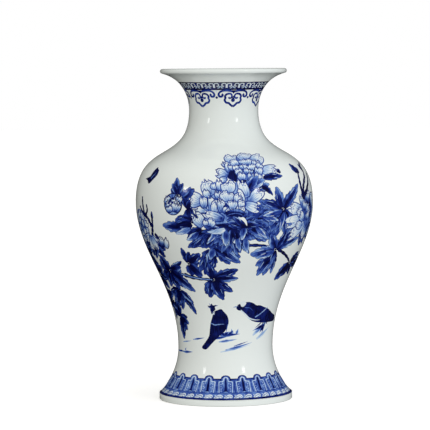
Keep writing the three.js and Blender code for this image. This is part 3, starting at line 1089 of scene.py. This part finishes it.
def leaves_between_peonies():
    blade((26, 312), 13, 36, 10, 0.15, *MIDDLE)
    blade((40, 318), 60, 9, 7, 0, *MIDDLE)
    leaf(
        (15, 298), [(2, 36, 10), (17, 35, 13, 0.1), (72, 24, 9), (34, 31, 13, 0.12, 0.2), (54, 27, 12, 0.1)],
        0.8, 0.12
    )
    blade((24, 302), 350, 22, 8, 0.5, *DARK)


def back_spray():
    """A quieter spray on the back, with a peony, a bud and leaves."""
    branch([(120, 205), (138, 222), (155, 232), (172, 240)], 3.4)
    branch([(172, 240), (186, 256), (196, 280), (199, 300)], 2.4)
    leaf((140, 222), [(250, 34, 14), (215, 30, 12), (290, 32, 12), (330, 24, 10)], *MIDDLE)
    leaf((186, 254), [(10, 34, 13), (330, 32, 13), (290, 30, 12), (45, 26, 10)], *MIDDLE)
    leaf((158, 262), [(150, 34, 13), (190, 34, 13), (115, 28, 11), (225, 28, 12)], *LIGHT)
    round_peony((172, 262), 32, 11)
    leaf((198, 296), [(120, 22, 8, 0, 0.5), (60, 22, 8), (20, 18, 7)], *MIDDLE)
    bud((199, 304), 11, 80)
    leaf((172, 232), [(235, 34, 13), (262, 36, 13), (290, 30, 11), (320, 28, 10)], *MIDDLE)
    branch([(-100, 200), (-112, 214), (-124, 222)], 2.6)
    leaf((-100, 202), [(60, 30, 11), (20, 26, 10), (300, 28, 12), (250, 30, 12), (150, 26, 10)], *DARK)
    leaf(
        (98, 222), [(180, 30, 12), (230, 32, 13), (280, 30, 12), (330, 26, 10), (120, 26, 10), (60, 24, 9)],
        *MIDDLE
    )
    bud((-124, 230), 9, 100)
    soft_brush((160, 92), 8, 40, 3, 0.6)
    soft_brush((175, 84), 6, 50, 3, 0.4)
    soft_brush((-150, 96), 172, 30, 3, 0.6)


neck_border()
foot_border()
ground()
standing_bird((-8, 114))
stooping_bird((36, 127))
flying_bird((-57, 313))
back_spray()
left_leaves()
left_flowers()
right_leaves()
right_flowers()
middle_leaves()
top_peony()
leaves_between_peonies()
main_peony()
arching_leaf()
bud_spray()


# ---- Materials
# The cobalt's colour as it gets denser, from bare porcelain to the darkest line (linear red, green, blue).
COBALT = (
    (0.00, (0.790, 0.840, 0.830)),
    (0.12, (0.450, 0.600, 0.800)),
    (0.30, (0.150, 0.275, 0.620)),
    (0.50, (0.048, 0.110, 0.430)),
    (0.70, (0.012, 0.034, 0.250)),
    (0.86, (0.003, 0.010, 0.130)),
    (1.00, (0.001, 0.002, 0.045)),
)


class Graph:
    """A node tree, built one node at a time. A node's inputs are set to values or linked to other outputs."""

    def __init__(self, tree):
        self.nodes, self.links = tree.nodes, tree.links

    def add(self, kind, inputs, **settings):
        node = self.nodes.new("ShaderNode" + kind)
        for name, value in settings.items():
            setattr(node, name, value)
        self.set(node, inputs)
        return node

    def set(self, node, inputs):
        for name, value in inputs.items():
            if isinstance(value, bpy.types.NodeSocket):
                self.links.new(value, node.inputs[name])
            else:
                node.inputs[name].default_value = value

    def math(self, operation, *values):
        return self.add("Math", dict(enumerate(values)), operation=operation).outputs[0]

    def noise(self, vector, scale, detail, stretch=(1, 1, 1)):
        """A noise value over a vector output, stretched along the axes."""
        stretched = self.add("VectorMath", {0: vector, 1: stretch}, operation="MULTIPLY").outputs[0]
        return self.add("TexNoise", {"Vector": stretched, "Scale": scale, "Detail": detail}).outputs["Fac"]

    def mix(self, share, first, second):
        ends = {"Factor": share, "A": first, "B": second}
        return self.add("Mix", ends, data_type="RGBA").outputs["Result"]


def new_material(name):
    material = bpy.data.materials.new(name)
    material.use_nodes = True
    graph = Graph(material.node_tree)
    return material, graph, graph.nodes["Principled BSDF"]


def glazed(name, roughness=0.09):
    """Clear gloss glaze: a smooth coat, with the slight unevenness of a dipped and fired surface."""
    material, graph, shader = new_material(name)
    place = graph.add("TexCoord", {}).outputs["Object"]
    waves = graph.noise(place, 22.0, 1.0)
    peel = graph.noise(place, 260.0, 2.0)
    height = graph.math("MULTIPLY_ADD", peel, 0.03, waves)
    bump = graph.add("Bump", {"Strength": 0.5, "Distance": 0.0012, "Height": height})
    graph.set(shader, {"Roughness": roughness, "IOR": 1.5, "Normal": bump.outputs["Normal"]})
    return material, graph, shader, place


def painted_porcelain():
    material, graph, shader, place = glazed("painted_porcelain")
    density = graph.add("Attribute", {}, attribute_name="cobalt").outputs["Fac"]
    brush_place = graph.add("Attribute", {}, attribute_name="brush").outputs["Vector"]
    hairs = graph.noise(brush_place, 1.0, 3.0, (0.9, 0.9, 1.0))
    pooling = graph.noise(place, 90.0, 3.0)
    # streaks and pooling show most where the cobalt is neither bare nor full
    half_tone = graph.math("MULTIPLY", density, graph.math("SUBTRACT", 1.15, density))
    uneven = graph.math("SUBTRACT", graph.math("ADD", hairs, pooling), 1.0)
    change = graph.math("MULTIPLY", graph.math("MULTIPLY", uneven, half_tone), 2.5)
    ramp = graph.add("ValToRGB", {"Fac": graph.math("ADD", density, change)})
    stops = ramp.color_ramp.elements
    while len(stops) < len(COBALT):
        stops.new(0.5)
    for stop, (at, colour) in zip(stops, COBALT):
        stop.position = at
        stop.color = (*colour, 1)
    graph.set(shader, {"Base Color": ramp.outputs["Color"]})
    return material


def plain_porcelain(name, colour, roughness):
    """Undecorated porcelain, with a faint cloudiness in the body."""
    material, graph, shader, place = glazed(name, roughness)
    cloudy = (*(c * 0.96 for c in colour), 1)
    graph.set(shader, {"Base Color": graph.mix(graph.noise(place, 30.0, 4.0), cloudy, (*colour, 1))})
    return material


# ---- The vase's pieces
def top_end(slip, joint):
    radius, low, _ = node_size(slip)
    return [(radius, joint), (radius, low)]


def bottom_end(slip, joint):
    radius, _, high = node_size(slip)
    return [(radius, high), (radius, joint)]


def joined(*parts):
    """Curves that meet, from parts that follow on one another. The last curve closes the outline."""
    curves, last = [], None
    for part in parts:
        part = np.array(part, float).reshape(-1, 2)
        if last is not None and np.linalg.norm(part[0] - last) > 1e-6:
            curves.append(np.array([last, part[0]]))
        if len(part) > 1:
            curves.append(part)
        last = part[-1]
    if np.linalg.norm(curves[0][0] - last) > 1e-6:
        curves.append(np.array([last, curves[0][0]]))
    return curves


def steps(points):
    """Each point of a list as a part of its own, so that every one is a corner."""
    return [[p] for p in points]


def neck_section():
    slip, low, high = "neck_slip", NECK_JOINT, node_size("neck_slip")[2]
    lip = arc(LIP_CENTRE, LIP_ROUND, LIP_SLOPE - math.pi / 2, LIP_SLOPE + math.pi / 2)
    rising = between(OUTSIDE, low, OUTSIDE[-1][1])
    falling = between(INSIDE, high, INSIDE[-1][1])[::-1]
    whole = np.vstack([rising, lip[1:], falling[1:]])
    curves = joined(whole, *steps(bottom_end(slip, low)))
    return turned("porcelain_neck", curves, float(length_at(low)), MARKS)


def wall_section(name, lower, upper, lower_joint, upper_joint):
    _, _, high = node_size(lower)
    _, low, _ = node_size(upper)
    curves = joined(
        between(OUTSIDE, lower_joint, upper_joint), *steps(top_end(upper, upper_joint)),
        between(INSIDE, high, low)[::-1], *steps(bottom_end(lower, lower_joint)),
    )
    return turned(name, curves, float(length_at(lower_joint)), MARKS)


def foot_section():
    low = node_size("waist_slip")[1]
    curves = joined(
        np.vstack([[[FOOT_RADIUS, FOOT_BEVEL]], between(OUTSIDE, FOOT_BAND, WAIST_JOINT)]),
        *steps(top_end("waist_slip", WAIST_JOINT)),
        between(INSIDE, FLOOR_SLIP_TOP, low)[::-1],
        *steps([(FLOOR_RADIUS, FLOOR_SLIP_TOP), (FLOOR_RADIUS, FLOOR_BOTTOM),
                (FOOT_RADIUS - FOOT_RING - FOOT_BEVEL, FOOT_BEVEL), (FOOT_RADIUS - FOOT_RING, 0),
                (FOOT_RADIUS - FOOT_BEVEL, 0)]),
    )
    foot = turned("porcelain_foot", curves, FOOT_BEVEL, MARKS)
    for face in foot.data.polygons:
        face.material_index = int(face.center.z < FOOT_BEVEL / 2 * MM)
    return foot


def floor_disc():
    curves = joined([(0, FLOOR_BOTTOM + 1), (60, FLOOR_BOTTOM), (FLOOR_RADIUS, FLOOR_BOTTOM)],
                    [(FLOOR_RADIUS, FLOOR_TOP)], [(0, FLOOR_TOP)])
    return turned("porcelain_floor", curves)


def wall_slip(name, node):
    radius, low, high = node_size(node)
    inner = [float(np.interp(z, INSIDE[:, 1], INSIDE[:, 0])) for z in (high, low)]
    height = (high - low) / 2
    t = np.linspace(0, 1, 24)
    bulge = inner[0] + (inner[1] - inner[0]) * t - BEAD * np.sin(math.pi * t)
    bead = np.stack([bulge, high - 2 * height * t], 1)
    return turned(name, joined([(radius, low), (radius, high)], bead))


def floor_slip():
    wall = float(np.interp(FLOOR_SLIP_TOP, INSIDE[:, 1], INSIDE[:, 0]))
    fillet = bezier((wall, FLOOR_SLIP_TOP), (wall - 0.2, FLOOR_SLIP_TOP - 2.4),
                    (FLOOR_RADIUS - 3.6, FLOOR_TOP + 0.2), (FLOOR_RADIUS - 5.5, FLOOR_TOP), 24)
    corner = [(FLOOR_RADIUS, FLOOR_TOP), (FLOOR_RADIUS, FLOOR_SLIP_TOP)]
    return turned("porcelain_floor_slip", joined(corner, fillet))


def finish_piece(piece, node, materials):
    for material in materials:
        piece.data.materials.append(material)
    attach(piece, "root")
    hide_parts(node)


# ---- Stage
CAMERA_DISTANCE, CAMERA_HEIGHT = 3.43, 0.482
CAMERA_PITCH, CAMERA_YAW, CAMERA_ROLL = math.radians(3.764), math.radians(0.22), math.radians(0.45)
CAMERA_LENS = 206.5
BOX_WIDTH, BOX_HEIGHT, BOX_DISTANCE, BOX_ELEVATION = 0.2, 0.26, 1.8, 18


def add_camera():
    camera = bpy.data.objects.new("camera", bpy.data.cameras.new("camera"))
    camera.data.lens = CAMERA_LENS
    camera.data.sensor_width = 36
    camera.data.clip_end = 100
    bpy.context.scene.collection.objects.link(camera)
    turn = (Matrix.Rotation(CAMERA_YAW, 4, "Z") @ Matrix.Rotation(math.pi / 2 - CAMERA_PITCH, 4, "X")
            @ Matrix.Rotation(-CAMERA_ROLL, 4, "Z"))
    camera.matrix_world = Matrix.Translation((0, -CAMERA_DISTANCE, CAMERA_HEIGHT)) @ turn
    bpy.context.scene.camera = camera


def add_light(name, azimuth, power):
    """A softbox at an angle round the vase (0 is the front, positive to the right), facing its middle."""
    light = bpy.data.lights.new(name, "AREA")
    light.shape = "RECTANGLE"
    light.size, light.size_y = BOX_WIDTH, BOX_HEIGHT
    light.energy = power
    box = bpy.data.objects.new(name, light)
    a, e = math.radians(azimuth), math.radians(BOX_ELEVATION)
    middle = Vector((0, 0, HEIGHT * MM / 2))
    away = Vector((math.sin(a) * math.cos(e), -math.cos(a) * math.cos(e), math.sin(e)))
    box.location = middle + BOX_DISTANCE * away
    box.rotation_euler = (middle - box.location).to_track_quat("-Z", "Y").to_euler()
    bpy.context.scene.collection.objects.link(box)


# The studio's light from each direction: an even part, and how much more comes from the right, the front
# and above. Its left side is a little warmer. Gloss reflects a dimmer room, and the background is white.
ROOM_EVEN, ROOM_RIGHT, ROOM_FRONT, ROOM_ABOVE = 0.63, 0.25, 0.52, 0.36
ROOM_LEAST, ROOM_GLOSS = 0.04, 0.07
WARM_SIDE, COOL_SIDE = (1.0, 0.97, 0.90, 1), (1.0, 1.01, 1.02, 1)
FLOOR_SIZE = 24.0


def add_world():
    world = bpy.data.worlds.new("studio")
    bpy.context.scene.world = world
    world.use_nodes = True
    graph = Graph(world.node_tree)
    direction = graph.add("TexCoord", {}).outputs["Generated"]
    right, back, above = graph.add("SeparateXYZ", {0: direction}).outputs
    light = graph.math("MULTIPLY_ADD", right, ROOM_RIGHT, ROOM_EVEN)
    light = graph.math("MULTIPLY_ADD", back, -ROOM_FRONT, light)
    light = graph.math("MULTIPLY_ADD", above, ROOM_ABOVE, light)
    light = graph.math("MAXIMUM", light, ROOM_LEAST)
    path = graph.add("LightPath", {}).outputs
    share = graph.math("MULTIPLY_ADD", path["Is Glossy Ray"], ROOM_GLOSS - 1, 1.0)
    light = graph.math("MULTIPLY", light, share)
    tint = graph.mix(graph.math("MULTIPLY_ADD", right, 0.5, 0.5), WARM_SIDE, COOL_SIDE)
    room = graph.nodes["Background"]
    graph.set(room, {"Color": tint, "Strength": light})
    backdrop = graph.add("Background", {"Color": (1, 1, 1, 1)})
    seen = graph.add("MixShader", {0: path["Is Camera Ray"], 1: room.outputs[0], 2: backdrop.outputs[0]})
    graph.set(graph.nodes["World Output"], {"Surface": seen.outputs[0]})


def add_floor():
    mesh = bpy.data.meshes.new("floor")
    size = FLOOR_SIZE / 2
    square = [(-size, -size, 0), (size, -size, 0), (size, size, 0), (-size, size, 0)]
    mesh.from_pydata(square, [], [(0, 1, 2, 3)])
    floor = bpy.data.objects.new("floor", mesh)
    bpy.context.scene.collection.objects.link(floor)
    material, graph, shader = new_material("pale_floor")
    graph.set(shader, {"Roughness": 0.9, "Specular IOR Level": 0.1, "Base Color": (0.9, 0.9, 0.9, 1),
                       "Emission Color": (1, 1, 1, 1), "Emission Strength": 0.4})
    mesh.materials.append(material)
    # the room's light already holds what comes up from below, so the floor doesn't light the vase as well
    floor.visible_diffuse = False
    floor.visible_glossy = False


add_camera()
add_light("key_right", 43, 1.3)
add_light("fill_left", -51, 1.05)
add_world()
add_floor()

paint = painted_porcelain()
plain = plain_porcelain("plain_porcelain", (0.80, 0.81, 0.79), 0.1)
slip = plain_porcelain("luting_slip", (0.79, 0.79, 0.75), 0.3)
biscuit = plain_porcelain("unglazed_porcelain", (0.72, 0.69, 0.62), 0.75)

finish_piece(neck_section(), "neck_section", [paint])
finish_piece(wall_section("porcelain_shoulder", "belly_slip", "neck_slip", BELLY_JOINT, NECK_JOINT),
             "upper_belly_section", [paint])
finish_piece(wall_section("porcelain_belly", "waist_slip", "belly_slip", WAIST_JOINT, BELLY_JOINT),
             "lower_belly_section", [paint])
finish_piece(foot_section(), "foot_section", [paint, biscuit])
finish_piece(floor_disc(), "floor_disc", [plain])
finish_piece(floor_slip(), "floor_slip", [slip])
for joint in ("waist", "belly", "neck"):
    node = f"{joint}_slip"
    finish_piece(wall_slip(f"porcelain_{node}", node), node, [slip])

bpy.context.scene.view_settings.view_transform = "Standard"
